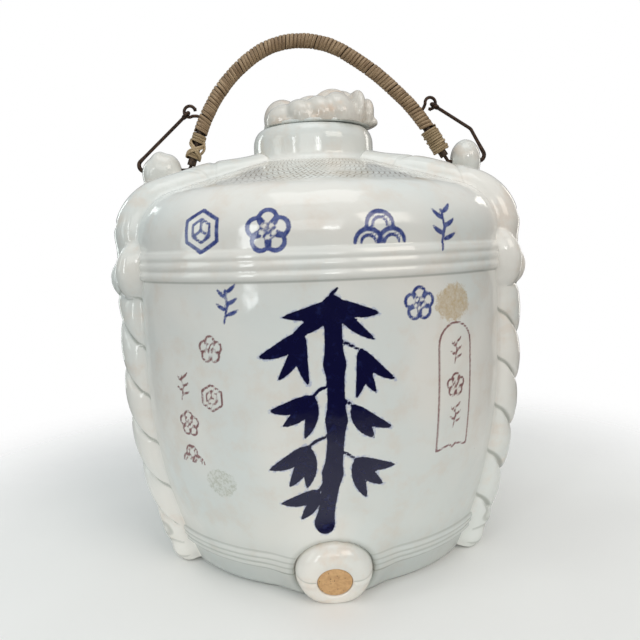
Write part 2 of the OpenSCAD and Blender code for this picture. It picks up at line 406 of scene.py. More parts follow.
def mesh_from(bm, name):
    """A mesh made from a bmesh, which is freed."""
    mesh = bpy.data.meshes.new(name)
    bm.to_mesh(mesh)
    bm.free()
    return mesh


def linked(name, data):
    """A new object in the scene."""
    thing = bpy.data.objects.new(name, data)
    bpy.context.scene.collection.objects.link(thing)
    return thing


def make_piece(name, bm, material, body, slot, *nodes):
    """Turns a bmesh in millimetres into a smooth piece that rides on a body and replaces nodes."""
    bmesh.ops.scale(bm, vec=(MM, MM, MM), verts=bm.verts)
    mesh = mesh_from(bm, name)
    mesh.shade_smooth()
    mesh.materials.append(material)
    piece = linked(name, mesh)
    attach(piece, body)
    if nodes:
        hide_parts(*nodes)
    return piece


def joined(parts):
    """One bmesh from several."""
    bm = bmesh.new()
    for part in parts:
        bm.from_mesh(mesh_from(part, "part"))
    return bm


def relax(bm, rounds):
    """Smooths a bmesh a number of times."""
    for _ in range(rounds):
        bmesh.ops.smooth_vert(bm, verts=bm.verts, factor=0.5, use_axis_x=True, use_axis_y=True,
                              use_axis_z=True)


def cut_below(bm, height):
    """Cuts off what lies below a height and closes the cut."""
    everything = bm.verts[:] + bm.edges[:] + bm.faces[:]
    cut = bmesh.ops.bisect_plane(bm, geom=everything, plane_co=(0, 0, height), plane_no=(0, 0, 1),
                                 clear_inner=True)
    rim = [e for e in cut["geom_cut"] if isinstance(e, bmesh.types.BMEdge)]
    bmesh.ops.holes_fill(bm, edges=rim, sides=0)


def turned(outline, count, closed=False):
    """A shape turned about +Z from an outline of radii and heights."""
    bm = bmesh.new()
    points = [bm.verts.new((0, -r, z)) for r, z in outline]
    pairs = list(zip(points, points[1:] + points[:1] if closed else points[1:]))
    edges = [bm.edges.new(pair) for pair in pairs]
    bmesh.ops.spin(bm, geom=points + edges, axis=(0, 0, 1), cent=(0, 0, 0), angle=TAU, steps=count,
                   use_merge=True)
    bmesh.ops.remove_doubles(bm, verts=bm.verts, dist=1e-4)
    bmesh.ops.recalc_face_normals(bm, faces=bm.faces)
    return bm


def wound_tube(rings, sides, place, uv=None):
    """A closed tube: place(a, b) gives its surface, a along it and b once round it."""
    bm = bmesh.new()
    bmesh.ops.create_grid(bm, x_segments=rings, y_segments=sides, size=1)
    layer = bm.loops.layers.uv.new("UVMap")
    for face in bm.faces:
        for loop in face.loops:
            a, b = (loop.vert.co.x + 1) / 2, (loop.vert.co.y + 1) / 2
            loop[layer].uv = uv(a, b) if uv else (a, b)
    for vert in bm.verts:
        vert.co = place((vert.co.x + 1) / 2, (vert.co.y + 1) / 2 % 1.0)
    bmesh.ops.remove_doubles(bm, verts=bm.verts, dist=1e-5)
    bmesh.ops.holes_fill(bm, edges=[e for e in bm.edges if e.is_boundary], sides=0)
    bmesh.ops.recalc_face_normals(bm, faces=bm.faces)
    return bm


class Path:
    """A line through points, with its length, and a frame whose side stays in a plane."""

    def __init__(self, points, upright=(0, 1, 0)):
        self.points = [Vector(p) for p in points]
        self.upright = Vector(upright)
        self.lengths = [0.0]
        for a, b in zip(self.points, self.points[1:]):
            self.lengths.append(self.lengths[-1] + (b - a).length)
        self.total = self.lengths[-1]

    def point(self, s):
        s = min(self.total, max(0.0, s))
        k = int(np.searchsorted(self.lengths, s, "right")) - 1
        k = min(k, len(self.points) - 2)
        span = self.lengths[k + 1] - self.lengths[k]
        return self.points[k].lerp(self.points[k + 1], (s - self.lengths[k]) / span)

    def at(self, s):
        """The point, its direction, and two directions across it."""
        reach = 0.6
        ahead = (self.point(s + reach) - self.point(s - reach)).normalized()
        side = ahead.cross(self.upright).normalized()
        return self.point(s), ahead, side, side.cross(ahead)


def rounded(corners, bends, step=1.5):
    """Points along a bent rod in the plane y = 0 whose corners are arcs."""
    flat = [Vector((x, 0, z)) for x, z in corners]
    points = [flat[0]]
    for before, corner, after, bend in zip(flat, flat[1:], flat[2:], bends[1:-1]):
        back, on = (before - corner).normalized(), (after - corner).normalized()
        half = back.angle(on) / 2
        cut = bend / math.tan(half)
        middle = corner + (back + on).normalized() * bend / math.sin(half)
        start, end = corner + back * cut - middle, corner + on * cut - middle
        count = max(2, round(bend * (math.pi - 2 * half) / step))
        points += [middle + start.lerp(end, i / count).normalized() * bend for i in range(count + 1)]
    return points + [flat[-1]]


def smooth_line(corners):
    """A smooth curve through points, as a Catmull-Rom spline."""
    pts = [Vector(p) for p in corners]
    pts = [pts[0] * 2 - pts[1]] + pts + [pts[-1] * 2 - pts[-2]]
    line, count = [], 8
    for p0, p1, p2, p3 in zip(pts, pts[1:], pts[2:], pts[3:]):
        for t in (i / count for i in range(count)):
            line.append(0.5 * (2 * p1 + (p2 - p0) * t + (2 * p0 - 5 * p1 + 4 * p2 - p3) * t ** 2
                               + (3 * p1 - p0 - 3 * p2 + p3) * t ** 3))
    return line + [pts[-2]]


def rod(path, radius, sides=12, step=1.2):
    """A round rod along a path; radius may be a function of the distance along it."""
    size = radius if callable(radius) else (lambda s: radius)

    def place(a, b):
        s = a * path.total
        middle, ahead, side, up = path.at(s)
        return middle + (side * math.cos(TAU * b) + up * math.sin(TAU * b)) * size(s)
    return wound_tube(max(2, round(path.total / step)), sides, place, lambda a, b: (a * path.total, 0.25))


def wound_strip(path, start, end, pitch, radius, half_width, half_thick, per_turn=18, drift=0.0):
    """A flat strip wound round a path; radius is a function of the distance and of the turn's angle."""
    turns = (end - start) / pitch
    rings = round(turns * per_turn)

    def place(a, b):
        s = start + a * (end - start)
        angle = TAU * turns * a
        s += drift * math.sin(angle * 0.37 + 1.3) * math.sin(angle * 0.11)
        middle, ahead, side, up = path.at(s)
        outward = side * math.cos(angle) + up * math.sin(angle)
        c, n = math.cos(TAU * b), math.sin(TAU * b)
        wide = half_width * math.copysign(abs(c) ** 0.6, c)
        deep = half_thick * math.copysign(abs(n) ** 0.7, n)
        return middle + ahead * wide + outward * (radius(s, angle) + deep)
    return wound_tube(rings, 8, place, lambda a, b: (a * turns * TAU * 5, b))


def melted(lumps, voxel, smooth):
    """One soft solid from lumps, each a middle, three half sizes and a turn in degrees."""
    bm = bmesh.new()
    for middle, sizes, turn in lumps:
        spin = Matrix.Rotation(math.radians(turn[2]), 4, "Z") @ Matrix.Rotation(
            math.radians(turn[1]), 4, "Y") @ Matrix.Rotation(math.radians(turn[0]), 4, "X")
        shape = Matrix.Translation(middle) @ spin @ Matrix.Diagonal((*sizes, 1))
        bmesh.ops.create_icosphere(bm, subdivisions=4, radius=1, matrix=shape)
    lump = linked("lumps", mesh_from(bm, "lumps"))
    remesh = lump.modifiers.new("melt", "REMESH")
    remesh.mode, remesh.voxel_size = "VOXEL", voxel
    bm = evaluated(lump)
    relax(bm, smooth)
    return bm


def evaluated(thing):
    """The bmesh of an object with its modifiers applied; the object is removed."""
    ready = thing.evaluated_get(bpy.context.evaluated_depsgraph_get())
    bm = bmesh.new()
    bm.from_mesh(ready.to_mesh())
    ready.to_mesh_clear()
    bpy.data.objects.remove(thing)
    return bm


def bored(bm, start, end, radius):
    """Cuts a round hole from one point to another."""
    axis = Vector(end) - Vector(start)
    cut = bmesh.new()
    turn = Vector((0, 0, 1)).rotation_difference(axis).to_matrix().to_4x4()
    middle = Matrix.Translation((Vector(start) + Vector(end)) / 2)
    bmesh.ops.create_cone(cut, cap_ends=True, segments=48, radius1=radius, radius2=radius,
                          depth=axis.length, matrix=middle @ turn)
    things = [linked("bore", mesh_from(source, "bore")) for source in (bm, cut)]
    boolean = things[0].modifiers.new("bore", "BOOLEAN")
    boolean.operation, boolean.solver, boolean.object = "DIFFERENCE", "EXACT", things[1]
    result = evaluated(things[0])
    bpy.data.objects.remove(things[1])
    return result


def store(piece, name, values):
    layer = piece.data.attributes.new(name, "FLOAT", "POINT")
    layer.data.foreach_set("value", np.asarray(values, dtype=np.float32))


# ---------------------------------------------------------------- the brush painting
# A stroke is a list of (across, height, half width). Across runs round the wall to the right,
# in millimetres at PRINT_R from the front's middle line.

PRINT_R = 129.0


def across(degrees):
    return math.radians(degrees) * PRINT_R


def leaf(x, z, turn, length, width):
    """A bamboo leaf that points down when turn is 0 and to the right when it is 90."""
    dx, dz = math.sin(math.radians(turn)), -math.cos(math.radians(turn))
    stroke = []
    for i in range(9):
        u = i / 8
        bow = 0.07 * length * math.sin(math.pi * u) * (1 if turn > 0 else -1)
        fat = width * 1.75 * (u + 0.03) ** 0.55 * (1.02 - u) ** 0.85
        stroke.append((x + dx * length * u + dz * bow, z + dz * length * u - dx * bow, fat))
    return stroke


def line(points, half, taper=0.45):
    """A drawn line that swells a little in its middle."""
    last = len(points) - 1
    return [(x, z, half * (1 - taper + taper * math.sin(math.pi * (0.15 + 0.7 * i / last))))
            for i, (x, z) in enumerate(points)]


def ring_points(x, z, radius, start, end, count=14):
    """Points on a ring, with its angles clockwise from the top."""
    return [(px, pz) for pz, px in arc(z, x, radius, start, end, count)]


def bamboo():
    """A bamboo stem of four joints, with twigs and clusters of leaves."""
    strokes = []
    foot, top = (-5.0, 50.0), (6.0, 172.0)
    joints, gap = 4, 0.022
    for k in range(joints):
        ends = ((k + gap) / joints, (k + 1 - gap) / joints)
        stem = []
        for i in range(6):
            u = ends[0] + (ends[1] - ends[0]) * i / 5
            sway = 3.2 * math.sin(u * 4.2)
            fat = 4.6 + 1.5 * (abs(i - 2.5) / 2.5) ** 3
            stem.append((foot[0] + (top[0] - foot[0]) * u + sway, foot[1] + (top[1] - foot[1]) * u, fat))
        strokes.append(stem)
    clusters = [((4, 174), (-78, -50, 46, 74), 27), ((-13, 158), (-58, -28, 4), 25),
                ((17, 148), (22, 52, -8), 25), ((-9, 124), (-72, -44, -12), 24),
                ((13, 118), (30, 60), 24), ((-13, 96), (-60, -30, 2), 24),
                ((14, 88), (16, 44, 72), 25), ((-8, 70), (-66, -36), 22)]
    for (x, z), turns, length in clusters:
        vary = random.Random(int(x * 7 + z))
        strokes.append(line([(0.08 * (z - 100), z + 7), (x * 0.6, z + 4), (x, z)], 0.9))
        for turn in turns:
            strokes.append(leaf(x, z, turn + vary.uniform(-5, 5), length * vary.uniform(0.86, 1.14),
                                vary.uniform(4.2, 5.6)))
    return strokes


def blossom(x, z, size, half):
    """A plum blossom in outline, with its stamens."""
    strokes = []
    for k in range(5):
        a = TAU * k / 5
        cx, cz = x + 0.56 * size * math.sin(a), z + 0.56 * size * math.cos(a)
        turn = math.degrees(a)
        strokes.append(line(ring_points(cx, cz, 0.42 * size, turn - 128, turn + 128), half))
        strokes.append(line([(x + 0.10 * size * math.sin(a), z + 0.10 * size * math.cos(a)),
                             (x + 0.34 * size * math.sin(a), z + 0.34 * size * math.cos(a))], half * 0.7))
    return strokes


def tortoiseshell(x, z, size, half):
    """A hexagon with three ribs inside it."""
    rim = ring_points(x, z, size, 0, 360, 6)
    inner = ring_points(x, z, size * 0.55, 0, 360, 6)
    strokes = [line([rim[i], rim[i + 1]], half, 0.2) for i in range(6)]
    strokes += [line([inner[i], inner[i + 1]], half * 0.7, 0.2) for i in range(6)]
    return strokes + [line([(x, z), inner[i]], half * 0.7, 0.2) for i in (0, 2, 4)]


def waves(x, z, size, half):
    """Three scallops of a wave."""
    strokes = []
    for cx, cz in ((-0.55, -0.55), (0.55, -0.55), (0, 0.25)):
        for scale, thick in ((0.62, half), (0.34, half * 0.7)):
            bow = ring_points(x + cx * size, z + cz * size, scale * size, -88, 88)
            strokes.append(line(bow, thick))
    return strokes


def sprig(x, z, size, half):
    """A bowed twig with five small leaves."""
    twig = [(x - 0.15 * size, z - size), (x + 0.1 * size, z), (x, z + 0.9 * size)]
    strokes = [line(twig, half * 0.7)]
    for height, turn in ((0.75, 128), (0.45, -132), (0.1, 118), (-0.25, -122), (-0.5, 112)):
        strokes.append(leaf(x + 0.05 * size, z + height * size, turn, 0.8 * size, half * 1.5))
    return strokes


def cartouche(x0, x1, z0, z1, half):
    """An upright panel's outline with a round head and a notched foot."""
    mid, radius = (x0 + x1) / 2, (x1 - x0) / 2
    outline = [(x0, z0), (x0, z1 - radius)] + ring_points(mid, z1 - radius, radius, -90, 90, 12)
    outline += [(x1, z1 - radius), (x1, z0), (mid + 2.5, z0 + 2.5), (mid, z0 + 0.5), (mid - 2.5, z0 + 2.5),
                (x0, z0)]
    return [line(outline, half, 0.0)]


def painting():
    """Every stroke, by the colour that it is painted in."""
    cobalt = []
    for degrees, height, motif in ((-29.8, 213, tortoiseshell), (-12.7, 211.5, blossom),
                                   (12.9, 210, waves), (29.8, 210, sprig)):
        cobalt += motif(across(degrees), height, 11.5, 1.15)
    cobalt += sprig(across(-24.0), 173, 9.5, 0.95) + blossom(across(22.6), 170.5, 9.0, 0.85)
    red = []
    for degrees, height, motif in ((-29.0, 149, blossom), (-29.4, 122, tortoiseshell), (-39.0, 126, sprig),
                                   (-37.8, 105, blossom), (-38.4, 85, waves)):
        red += motif(across(degrees), height, 7.5, 0.62)
    red += cartouche(across(28.2), across(39.2), 85, 158, 0.6)
    for height, motif in ((141.5, sprig), (122.5, blossom), (104, sprig)):
        red += motif(across(33.7), height, 6.8, 0.62)
    return {"navy": bamboo(), "cobalt": cobalt, "iron_red": red}


def stroke_distance(points, strokes, reach=6.0):
    """How far each point lies outside the strokes; negative inside them."""
    best = np.full(len(points), reach)
    for stroke in strokes:
        for (ax, az, aw), (bx, bz, bw) in zip(stroke, stroke[1:]):
            low = np.array((min(ax, bx), min(az, bz))) - reach - max(aw, bw)
            high = np.array((max(ax, bx), max(az, bz))) + reach + max(aw, bw)
            near = np.nonzero(((points > low) & (points < high)).all(axis=1))[0]
            start, run = np.array((ax, az)), np.array((bx - ax, bz - az))
            offset = points[near] - start
            t = np.clip(offset @ run / max(1e-9, run @ run), 0, 1)
            gap = np.linalg.norm(offset - t[:, None] * run, axis=1) - (aw + t * (bw - aw))
            best[near] = np.minimum(best[near], gap)
    return best


# ---------------------------------------------------------------- the jar

TAP_OUT = Vector((0, -math.cos(TAP_TILT), -math.sin(TAP_TILT)))
TAP_UP = Vector((0, -math.sin(TAP_TILT), math.cos(TAP_TILT)))
TAP_POINT = Vector((0, -wall_r(TAP_Z), TAP_Z))
FLARE_R = (BOSS_R - 1.2, BOSS_R + 1.4, BOSS_R + 21)
FLARE_H = 4.8


def hoop_relief(z):
    """How far the ribs of a hoop stand out of the wall at a height."""
    for low, high in (HOOP_LOW, HOOP_HIGH):
        if low < z < high:
            part = (z - low) / (high - low) * HOOP_RIBS
            rib = part - math.floor(part)
            fade = 1 - 0.45 * smoothstep(2.0, 3.0, part)
            return HOOP_PROUD * fade * (0.62 + 0.38 * math.sin(math.pi * rib))
    return 0.0


def jar_outline():
    """The outline from under the floor, out and up the wall, over the rim and down the inside."""
    outside = [(0, FOOT_RECESS), (60, FOOT_RECESS), (FOOT_R - FOOT_W - 1.5, FOOT_RECESS)]
    outside += arc(FOOT_R - FOOT_W - 1.5, FOOT_RECESS - 1.5, 1.5, 90, 0, 3)
    outside += [(FOOT_R - FOOT_W + 0.2, 0.8), (FOOT_R - FOOT_W + 1, 0), (FOOT_R - 1.2, 0), (FOOT_R, 1.2)]
    heights = steps(2.4, HOOP_LOW[0] - 1, 2.0) + steps(HOOP_LOW[0] - 0.1, HOOP_LOW[1] + 0.4, 0.65)
    heights += steps(28.8, HOOP_HIGH[0] - 1.4, 1.45) + steps(HOOP_HIGH[0] - 0.1, HOOP_HIGH[1] + 0.4, 0.7)
    outside += [(wall_r(z), z) for z in heights + steps(203.4, 208, 1.2)]
    outside += arc(CORNER_X, CORNER_Z, CORNER_R, 0, 90 - math.degrees(DOME_SLOPE), 30)
    outside += [(r, dome_z(r)) for r in steps(104, NECK_FOOT + 2, 4.5)]
    outside += arc(NECK_FOOT, dome_z(NECK_FOOT) + NECK_FILLET, NECK_FILLET, 250, 180, 7)
    outside += [(NECK_R, z) for z in steps(266, RIM_Z - LIP_H, 3)]
    outside += [(NECK_R - LIP_R + LIP_R * c, RIM_Z - LIP_H + LIP_H * n) for c, n in arc(0, 0, 1, 8, 90, 10)]
    inside = arc(MOUTH_R + 1.5, RIM_Z - 1.5, 1.5, 90, 180, 3) + [(MOUTH_R, 270)]
    inside += arc(MOUTH_R + 6, dome_z(MOUTH_R + 6) - WALL + 6, 6, 180, 260, 4)
    inside += arc(CORNER_X, CORNER_Z, CORNER_R - WALL, 90 - math.degrees(DOME_SLOPE), 0, 8)
    inside += [(wall_r(z) - WALL, z) for z in steps(195, 30, 14)]
    inside += arc(wall_r(30) - WALL - 12, FLOOR_Z + 12, 12, 350, 270, 5) + [(50, FLOOR_Z), (0, FLOOR_Z)]
    return outside + inside


def jar_wall():
    """The jar's wall, turned, with its columns close together where it is painted."""
    columns, close, painted = 300, 120.0, 50.0
    bm = turned(jar_outline(), columns)
    for vert in bm.verts:
        x, y, z = vert.co
        r = math.hypot(x, y)
        if r < 0.01:
            continue
        angle = math.degrees(math.atan2(x, -y))
        if abs(angle) <= close:
            angle *= painted / close
        else:
            far = painted + (abs(angle) - close) * (180 - painted) / (180 - close)
            angle = math.copysign(far, angle)
        angle = math.radians(angle)
        outer = z > 1.5 and z < 212 and r > wall_r(z) - 2
        flare = 0.0
        if outer:
            spot = Vector((r * math.sin(angle), -r * math.cos(angle), z)) - TAP_POINT
            rho = (spot - TAP_OUT * spot.dot(TAP_OUT)).length if spot.y < 60 else 1e3
            fade = smoothstep(FLARE_R[1], FLARE_R[2], rho)
            r += hoop_relief(z) * fade
            if rho < FLARE_R[2]:
                flare = FLARE_H * (1 - fade) ** 1.5 * smoothstep(FLARE_R[0], FLARE_R[1], rho)
        vert.co = Vector((r * math.sin(angle), -r * math.cos(angle), z)) + TAP_OUT * flare
        if flare:
            vert.co.z = max(vert.co.z, 0.6)
    bm = bored(bm, TAP_POINT - TAP_OUT * 46, TAP_POINT + TAP_OUT * 12, CORK_R + 0.5)
    piece = make_piece("jar_wall", bm, painted_glaze(), "jar", "porcelain",
                       "jar_body", "jar_shoulder", "jar_neck")
    co = np.empty(len(piece.data.vertices) * 3)
    piece.data.vertices.foreach_get("co", co)
    x, y, z = co.reshape(-1, 3).T / MM
    r = np.hypot(x, y)
    spots = np.stack([x, y, z], axis=1) - np.array(TAP_POINT)
    rho = np.linalg.norm(spots - np.outer(spots @ np.array(TAP_OUT), np.array(TAP_OUT)), axis=1)
    # Painted shade: a soft grey ring on the wall round the boss, on the front half
    store(piece, "crease", np.where(y < 0, 0.62 * np.exp(-((rho - BOSS_R - 1.5) / 3.4) ** 2), 0.0))
    outer = (r > 108) & (z > 25) & (z < 236)
    # Over the round corner the painting follows the surface, not the height
    lean = np.clip((z - CORNER_Z) / CORNER_R, 0, 0.99)
    tall = np.where(z > CORNER_Z, CORNER_Z + CORNER_R * np.arcsin(lean), z)
    flat = np.stack([np.arctan2(x, -y) * PRINT_R, tall], axis=1)
    for name, strokes in painting().items():
        gap = np.full(len(x), 6.0)
        gap[outer] = stroke_distance(flat[outer], strokes)
        store(piece, name, gap)
    stains = (("tan_stain", 33.0, 169.5, 12.5), ("faint_stain", -30.0, 71.0, 10.5))
    for name, degrees, height, radius in stains:
        gap = np.hypot(flat[:, 0] - across(degrees), 1.2 * (flat[:, 1] - height)) - radius
        store(piece, name, np.where(outer, np.minimum(gap, 20.0), 20.0))
    return piece


def laid_in_tap(bm):
    """Lays a shape turned about +Z along the tap's axis, with its foot on the wall."""
    lay = Matrix((Vector((1, 0, 0)), TAP_UP, TAP_OUT)).transposed().to_4x4()
    bmesh.ops.transform(bm, matrix=Matrix.Translation(TAP_POINT) @ lay, verts=bm.verts)


def tap_boss():
    """The boss: a round dome with a soft flat face and a bore, leaning down with the wall."""
    seam = 0.45
    outline = [(CORK_R + 0.05, -6), (CORK_R + 0.05, BOSS_H - 1.0)]
    outline += arc(CORK_R + 1.0, BOSS_H - 0.95, 0.95, 180, 90, 4)
    for i in range(19):
        a = math.radians(90 - 5 * i)
        outline.append((BOSS_FLAT + (BOSS_R - BOSS_FLAT) * math.cos(a) ** 0.92,
                        BOSS_H * math.sin(a) ** 0.96))
    outline += [(BOSS_R - 0.1, -2), (BOSS_R - 0.3, -6)]
    bm = turned(outline, 144, closed=True)
    for vert in bm.verts:
        side, height = vert.co.y, vert.co.z
        if height > 1 and abs(vert.co.x) > CORK_R + 0.8:
            vert.co.z -= seam * math.exp(-((side - 0.5) / 0.7) ** 2) * smoothstep(1, 6, height)
            vert.co.z += 0.35 * math.exp(-((side + 2.2) / 1.6) ** 2) * smoothstep(1, 6, height)
    laid_in_tap(bm)
    cut_below(bm, 0.6)
    bmesh.ops.recalc_face_normals(bm, faces=bm.faces)
    glaze = plain_glaze("boss_porcelain", 0.55)
    piece = make_piece("tap_boss", bm, glaze, "jar", "porcelain", "spigot_boss")
    # Painted shade along the groove of the seam across the boss
    creases = []
    for vert in piece.data.vertices:
        spot = vert.co / MM - TAP_POINT
        level = abs(spot.x) > CORK_R + 0.5 and spot.dot(TAP_OUT) > 1
        creases.append(0.8 * math.exp(-((spot.dot(TAP_UP) - 0.5) / 0.6) ** 2) if level else 0.0)
    store(piece, "crease", creases)
    return piece


def cork_plug():
    """The cork: a rough cut face with a rounded rim, a straight grip and a tapered tip."""
    top = BOSS_H - CORK_SINK
    outline = [(0, top - CORK_LEN), (CORK_TIP_R - 1, top - CORK_LEN), (CORK_TIP_R, top - CORK_LEN + 1)]
    outline += [(CORK_R - 0.05, z) for z in steps(top - CORK_GRIP, top - 0.9, 2.5)]
    outline += arc(CORK_R - 0.85, top - 0.8, 0.8, 15, 90, 4)
    outline += [(r, top) for r in steps(8.0, 2.0, 1.0)] + [(0, top)]
    bm = turned(outline, 96)
    for vert in bm.verts:
        if vert.co.z > top - 0.3:
            vert.co.z += 0.16 * noise.noise(vert.co * 0.55) + 0.05 * noise.noise(vert.co * 1.9)
    laid_in_tap(bm)
    return make_piece("cork_plug", bm, cork_face(), "cork", "cork", "cork_bung")


# ---------------------------------------------------------------- the ropes

ROPE_FOOT = 2.5
WALL_RUN = CORNER_Z - ROPE_FOOT
CORNER_RUN = CORNER_R * (math.pi / 2 - DOME_SLOPE)
FOLD_AT = WALL_RUN + 8.0
DOME_RUN = (DOME_START[0] - NECK_R + 0.5) / math.cos(DOME_SLOPE)


def rope_line(s):
    """Radius and height of the wall under a rope, and the direction out of the wall."""
    if s < WALL_RUN:
        z = ROPE_FOOT + s
        lean = max(0.0, BELLY_Z - z) / BELLY_BEND
        return wall_r(z), z, math.sqrt(1 - lean ** 2), -lean
    if s < WALL_RUN + CORNER_RUN:
        a = (s - WALL_RUN) / CORNER_R
        return (CORNER_X + CORNER_R * math.cos(a), CORNER_Z + CORNER_R * math.sin(a),
                math.cos(a), math.sin(a))
    d = s - WALL_RUN - CORNER_RUN
    return (DOME_START[0] - d * math.cos(DOME_SLOPE), DOME_START[1] + d * math.sin(DOME_SLOPE),
            math.sin(DOME_SLOPE), math.cos(DOME_SLOPE))


def mound(s, t, s0, t0, length, width, height):
    """A smooth lobe on the wall."""
    return height * math.sqrt(max(0.0, 1 - ((s - s0) / length) ** 2 - ((t - t0) / width) ** 2))


def rope_height(s, t, side, phase):
    """How high a rope stands over the wall, and how much painted shade a point gets: deep in a crease
    or fold, along the knot's seam and under its lobes. s runs up it, t to the right of it, and side is +1
    where the front of the jug lies to its right."""
    z = s + ROPE_FOOT
    body = math.sqrt(max(0.0, 1 - (t / (INNER_R if t * side > 0 else ROPE_R)) ** 2))
    turn = (s + ROPE_LEAN * t + phase) / ROPE_PITCH
    part = turn - math.floor(turn)
    groove = min(part, 1 - part) * ROPE_PITCH
    twist = smoothstep(24, 30, z) * (1 - smoothstep(174, 180, z))
    crease = math.exp(-(groove / 1.6) ** 2) * twist
    swell = 1 - twist * 0.26 * (1 - math.sin(math.pi * part) ** 0.6)
    swell -= 0.16 * smoothstep(172, 178, z) * (1 - smoothstep(204, 216, z))
    swell -= 0.42 * smoothstep(-42, -2, s - WALL_RUN - CORNER_RUN - DOME_RUN)
    height = ROPE_R * body * swell - 2.8 * crease * body
    if s > FOLD_AT - 10:
        fold = math.exp(-((s - FOLD_AT - 0.15 * t * side) / 1.2) ** 2) * smoothstep(3, -1, t * side)
        over = math.exp(-((s - WALL_RUN - CORNER_RUN - 14 - 0.9 * t) / 1.5) ** 2)
        over += math.exp(-((s - WALL_RUN - CORNER_RUN - 40 + 0.5 * t) / 1.5) ** 2)
        height -= (2.0 * fold + 1.5 * over) * body
        crease = max(crease, 1.3 * fold, 0.5 * over)
    inner = mound(s, t - 0.1 * (s - 188) * side, 188.0, 11.0 * side, 18.0, 9.6, 12.8)
    outer = mound(s, t + 0.12 * (s - 185) * side, 184.0, -3.6 * side, 13.5, 8.4, 12.4)
    tuck = mound(s, t, 7, 3.5 * side, 10.5, 12.0, 11.0)
    roll = mound(s, t, 20, 1.0 * side, 9.5, 11.0, 10.6)
    lobes = max(inner, outer, tuck, roll)
    # The seam between the lobes is a groove with painted shade in it, and the lobes get painted shade under
    # them
    seam = math.exp(-((inner - outer) / 2.2) ** 2) if min(inner, outer) > 2 else 0.0
    lobes -= 2.2 * seam
    under = math.exp(-((lobes - height) / 1.3) ** 2) if lobes > 4 and body > 0.3 and z < 192 else 0.0
    return max(height, lobes), max(crease, 0.7 * seam, 0.7 * under)


def rope(face, hand, azimuth, side, phase, material):
    """A moulded rope from the foot to the neck, with its knot and its tucked end."""
    total = WALL_RUN + CORNER_RUN + DOME_RUN
    half, shift, top_part, sink, skirt = 16.8, 4.4 * side, 0.86, 2.4, 1.1
    turn = Matrix.Rotation(math.radians(azimuth), 3, "Z")

    def place(a, b):
        s = a * total
        r, z, out, up = rope_line(s)
        if b <= top_part:
            t = half * (2 * b / top_part - 1)
            edge = smoothstep(0.74, 1.0, abs(t) / half)
            t += shift
            height = max(0.0, rope_height(s, t, side, phase)[0]) - skirt * edge
        else:
            back = (b - top_part) / (1 - top_part)
            t = shift + half * math.cos(math.pi * back) * 0.98
            height = -sink * math.sin(math.pi * back) - skirt
        # The wall curves away on both sides of the rope's middle line
        drop = t * t / (2 * r) * abs(out)
        height = max(height, -sink)
        at = Vector((t, -(r + (height - drop) * out), z + (height - drop) * up))
        return turn @ at
    bm = wound_tube(300, 50, place)
    relax(bm, 3)
    for vert in bm.verts:
        vert.co.z = max(vert.co.z, 0.3)
    piece = make_piece(f"rope_{face}_{hand}", bm, material, "jar", "porcelain", f"{face}_rope_{hand}")
    # Painted shade in the rope's creases, folds, knot seam and under the knot
    creases = []
    back_turn = turn.inverted()
    for vert in piece.data.vertices:
        at = back_turn @ (vert.co / MM)
        if at.z < CORNER_Z:
            s = at.z - ROPE_FOOT
        else:
            a = math.atan2(at.z - CORNER_Z, -at.y - CORNER_X)
            ahead = (DOME_START[0] + at.y) / math.cos(DOME_SLOPE)
            corner = WALL_RUN + CORNER_R * min(a, math.pi / 2 - DOME_SLOPE)
            s = corner if -at.y > DOME_START[0] else WALL_RUN + CORNER_RUN + ahead
        creases.append(rope_height(s, at.x, side, phase)[1])
    store(piece, "crease", creases)
    return piece


# ---------------------------------------------------------------- the ears


def ear(name, span, lumps, material):
    """A pierced ear, melted together from soft lumps and bored along the hinge line."""
    bm = melted(lumps, 1.0, 7)
    bm = bored(bm, (span[0] - 30, 0, HINGE_Z), (span[1] + 30, 0, HINGE_Z), EAR_HOLE_R)
    return make_piece("pierced_" + name, bm, material, "jar", "porcelain", name)


def ears(material):
    left, right = EAR_SPAN
    z = HINGE_Z
    ear("ear_left", left, [
        ((-107, 0, z), (8.6, 12.6, 13.2), (0, 0, 0)),
        ((-103, 0, z - 1), (10.2, 12.4, 12.6), (0, 8, 0)),
        ((-98.2, 0, z - 4.5), (6.2, 10.4, 8.0), (0, 35, 0)),
        ((-110.5, 0, z - 2.5), (9.4, 12.2, 11.8), (0, 0, 0)),
        ((-106, 0, z - 12), (10, 12.6, 13), (0, 0, 0)),
        ((-111, 0, z - 15), (9.4, 13, 13), (0, 0, 0)),
        ((-101, 0, z - 16), (13, 13, 11), (0, 0, 0)),
        ((-108, 0, z - 24), (10, 13, 14), (0, 0, 0))], material)
    ear("ear_right", right, [
        ((107.4, 0, z + 1.6), (10.4, 12.9, 13.6), (0, 0, 0)),
        ((106.6, -1, z + 1.5), (8.6, 11.9, 11.8), (0, -25, 0)),
        ((109.2, 0, z - 1.5), (8.6, 12.4, 12.4), (0, 0, 0)),
        ((107.3, 0, z - 12), (10.2, 12.6, 13), (0, 0, 0)),
        ((109.8, 0, z - 16), (9.0, 13, 13), (0, 0, 0)),
        ((105, 0, z - 17), (12, 13, 11), (0, 0, 0)),
        ((108, 0, z - 24), (10, 13, 14), (0, 0, 0))], material)


# ---------------------------------------------------------------- the lid


